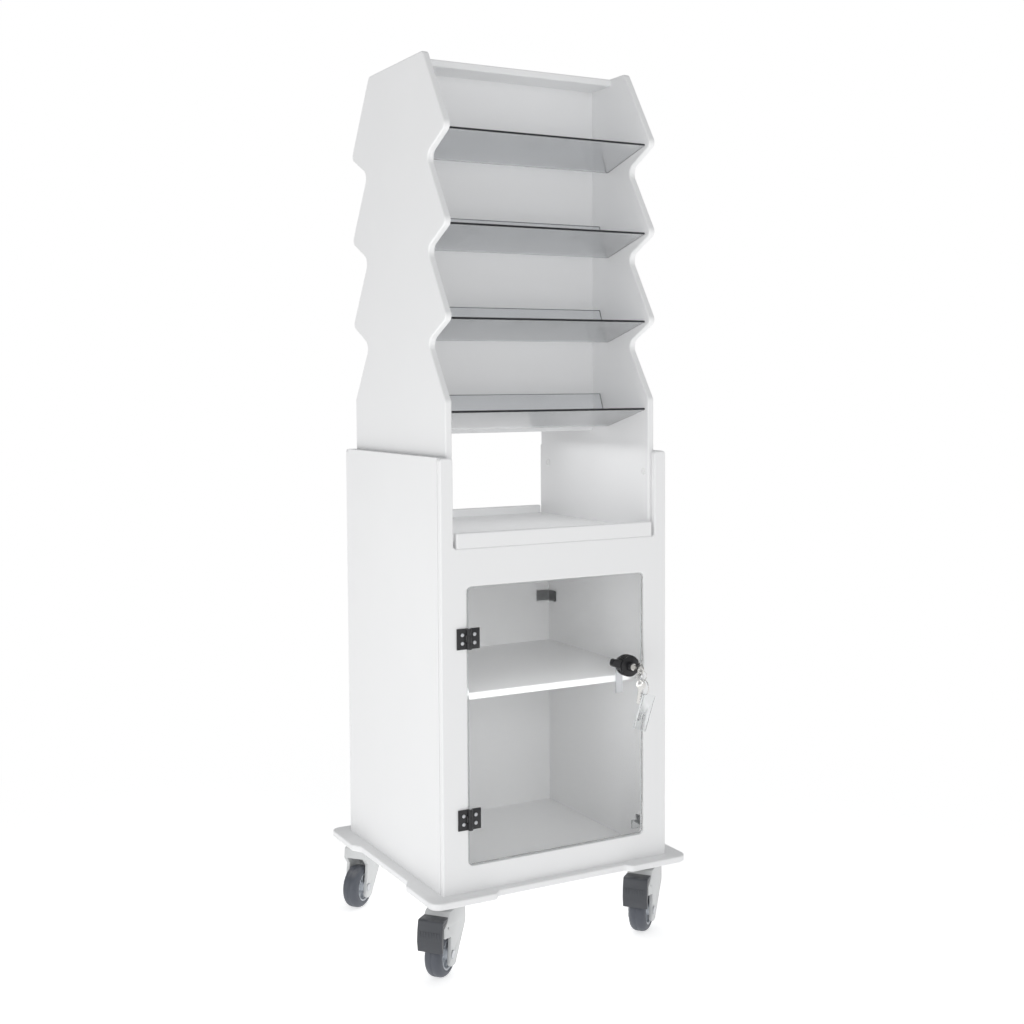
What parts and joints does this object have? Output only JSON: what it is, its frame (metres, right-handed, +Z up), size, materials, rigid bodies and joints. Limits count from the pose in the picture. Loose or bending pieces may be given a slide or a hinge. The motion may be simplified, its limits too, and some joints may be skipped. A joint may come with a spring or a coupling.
{
  "type": "brochure display cart",
  "caption": "White lockable cabinet on swivel casters with an open tray and a double-sided rack of sloping clear brochure shelves.",
  "frame": {"origin": "centre of the bounding box on the floor, between the four casters", "axes": "+X to the right seen from the door, +Y to the rear, +Z up"},
  "size_m": [0.5578, 0.5298, 1.586],
  "materials": {
    "white_sheet": "white plastic sheet, satin, rounded and flamed edges",
    "white_cap": "white snap cap, gloss",
    "clear_sheet": "clear acrylic sheet with dark polished edges",
    "clear_door": "clear acrylic door, polished edges",
    "clear_bracket": "clear plastic angle",
    "clear_tag": "clear plastic tag",
    "hinge_black": "black moulded plastic, fine grain",
    "lock_black": "black moulded plastic, semi-gloss",
    "zinc": "zinc plated steel",
    "nickel": "nickel plated brass",
    "caster_grey": "light grey moulded nylon",
    "hub_grey": "pale grey moulded hub",
    "tread_grey": "dark grey polyurethane tread",
    "pedal_grey": "dark grey moulded pedal"
  },
  "bodies": {
    "cart": {"base_plate": "white_sheet", "cabinet_side_left": "white_sheet", "cabinet_side_right": "white_sheet", "front_panel": "white_sheet", "rear_panel": "white_sheet", "cabinet_shelf": "white_sheet", "tray_floor": "white_sheet", "tray_front_lip": "white_sheet", "tray_rear_lip": "white_sheet", "rack_side_left": "white_sheet", "rack_side_right": "white_sheet", "centre_divider": "white_sheet", "top_plate": "white_sheet", "front_shelf_1": "clear_sheet", "front_shelf_2": "clear_sheet", "front_shelf_3": "clear_sheet", "front_shelf_4": "clear_sheet", "rear_shelf_1": "clear_sheet", "rear_shelf_2": "clear_sheet", "rear_shelf_3": "clear_sheet", "rear_shelf_4": "clear_sheet", "screw_caps": "white_cap", "corner_brackets": "clear_bracket", "hinge_frame_leaves": "hinge_black", "hinge_pins": "zinc", "frame_leaf_screws": "zinc", "caster_plates": "zinc", "caster_screws": "zinc"},
    "door": {"door_panel": "clear_door", "hinge_door_leaves": "hinge_black", "door_leaf_screws": "zinc", "lock_nut": "zinc", "lock_housing": "lock_black"},
    "knob": {"lock_knob": "lock_black", "lock_cam": "zinc"},
    "key": {"lock_cylinder": "nickel", "lock_key": "nickel"},
    "key_ring_part": {"key_ring": "nickel"},
    "spare_key_part": {"spare_key": "nickel"},
    "tag_ring_part": {"tag_ring": "nickel"},
    "key_tag_part": {"key_tag": "clear_tag"},
    "swivel_fl": {"caster_fl_fork": "caster_grey", "caster_fl_axle": "zinc"},
    "wheel_fl": {"caster_fl_tread": "tread_grey", "caster_fl_hub": "hub_grey"},
    "pedal_fl": {"brake_pedal_fl": "pedal_grey"},
    "swivel_fr": {"caster_fr_fork": "caster_grey", "caster_fr_axle": "zinc"},
    "wheel_fr": {"caster_fr_tread": "tread_grey", "caster_fr_hub": "hub_grey"},
    "pedal_fr": {"brake_pedal_fr": "pedal_grey"},
    "swivel_rl": {"caster_rl_fork": "caster_grey", "caster_rl_axle": "zinc"},
    "wheel_rl": {"caster_rl_tread": "tread_grey", "caster_rl_hub": "hub_grey"},
    "swivel_rr": {"caster_rr_fork": "caster_grey", "caster_rr_axle": "zinc"},
    "wheel_rr": {"caster_rr_tread": "tread_grey", "caster_rr_hub": "hub_grey"}
  },
  "joints": [
    {"name": "door_swing", "type": "hinge", "parent": "cart", "child": "door", "pos_m": [-0.1726, -0.19455, 0.421], "axis": [0, 0, -1], "range_deg": [0, 115]},
    {"name": "knob_turn", "type": "hinge", "parent": "door", "child": "knob", "pos_m": [0.1431, -0.2045, 0.503], "axis": [0, -1, 0], "range_deg": [0, 90]},
    {"name": "key_turn", "type": "hinge", "parent": "knob", "child": "key", "pos_m": [0.1431, -0.2185, 0.503], "axis": [0, -1, 0], "range_deg": [0, 90]},
    {"name": "key_ring_swing", "type": "hinge", "parent": "key", "child": "key_ring_part", "pos_m": [0.1431, -0.2512, 0.503], "axis": [1, 0, 0], "range_deg": [-15, 15]},
    {"name": "spare_key_swing", "type": "hinge", "parent": "key_ring_part", "child": "spare_key_part", "pos_m": [0.13789, -0.25243, 0.48011], "axis": [0.766, 0.6428, 0], "range_deg": [0, 14]},
    {"name": "tag_ring_swing", "type": "hinge", "parent": "key_ring_part", "child": "tag_ring_part", "pos_m": [0.1486, -0.2512, 0.47096], "axis": [1, 0, 0], "range_deg": [-12, 12]},
    {"name": "key_tag_swing", "type": "hinge", "parent": "tag_ring_part", "child": "key_tag_part", "pos_m": [0.14834, -0.2512, 0.4567], "axis": [0, 1, 0], "range_deg": [-20, 0]},
    {"name": "swivel_fl_turn", "type": "hinge", "parent": "cart", "child": "swivel_fl", "pos_m": [-0.1997, -0.1636, 0.12], "axis": [0, 0, 1], "continuous": true},
    {"name": "wheel_fl_roll", "type": "hinge", "parent": "swivel_fl", "child": "wheel_fl", "pos_m": [-0.22881, -0.18803, 0.04], "axis": [0.6428, -0.766, 0], "continuous": true},
    {"name": "pedal_fl_press", "type": "hinge", "parent": "swivel_fl", "child": "pedal_fl", "pos_m": [-0.2426, -0.1996, 0.0923], "axis": [0.6428, -0.766, 0], "range_deg": [0, 3]},
    {"name": "swivel_fr_turn", "type": "hinge", "parent": "cart", "child": "swivel_fr", "pos_m": [0.2139, -0.1636, 0.12], "axis": [0, 0, 1], "continuous": true},
    {"name": "wheel_fr_roll", "type": "hinge", "parent": "swivel_fr", "child": "wheel_fr", "pos_m": [0.18479, -0.18803, 0.04], "axis": [0.6428, -0.766, 0], "continuous": true},
    {"name": "pedal_fr_press", "type": "hinge", "parent": "swivel_fr", "child": "pedal_fr", "pos_m": [0.171, -0.1996, 0.0923], "axis": [0.6428, -0.766, 0], "range_deg": [0, 3]},
    {"name": "swivel_rl_turn", "type": "hinge", "parent": "cart", "child": "swivel_rl", "pos_m": [-0.1997, 0.2066, 0.12], "axis": [0, 0, 1], "continuous": true},
    {"name": "wheel_rl_roll", "type": "hinge", "parent": "swivel_rl", "child": "wheel_rl", "pos_m": [-0.22881, 0.18217, 0.04], "axis": [0.6428, -0.766, 0], "continuous": true},
    {"name": "swivel_rr_turn", "type": "hinge", "parent": "cart", "child": "swivel_rr", "pos_m": [0.2139, 0.2066, 0.12], "axis": [0, 0, 1], "continuous": true},
    {"name": "wheel_rr_roll", "type": "hinge", "parent": "swivel_rr", "child": "wheel_rr", "pos_m": [0.24301, 0.23103, 0.04], "axis": [-0.6428, 0.766, 0], "continuous": true}
  ]
}
